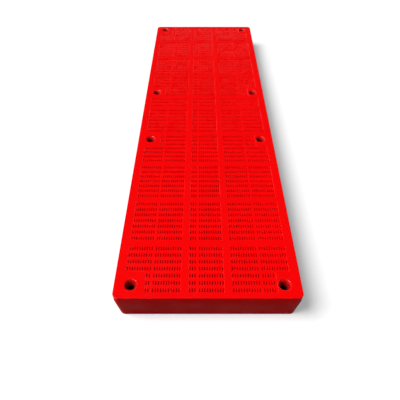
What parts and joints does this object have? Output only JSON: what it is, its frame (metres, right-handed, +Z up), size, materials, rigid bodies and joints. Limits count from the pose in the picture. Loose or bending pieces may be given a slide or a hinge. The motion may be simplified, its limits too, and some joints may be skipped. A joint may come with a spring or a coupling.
{
  "type": "polyurethane screen panel",
  "caption": "Long flat cast polyurethane panel with rows of fine slots in sunken fields, countersunk bolt holes along both sides and a ribbed underside, for sieving on a vibrating screen.",
  "frame": {"origin": "middle of the underside", "axes": "+X across the panel, +Y along it, +Z up out of the screening face"},
  "size_m": [0.305, 1, 0.06],
  "materials": {
    "polyurethane": "glossy moulded polyurethane elastomer"
  },
  "bodies": {
    "root": {"screen_panel": "polyurethane"}
  },
  "joints": []
}
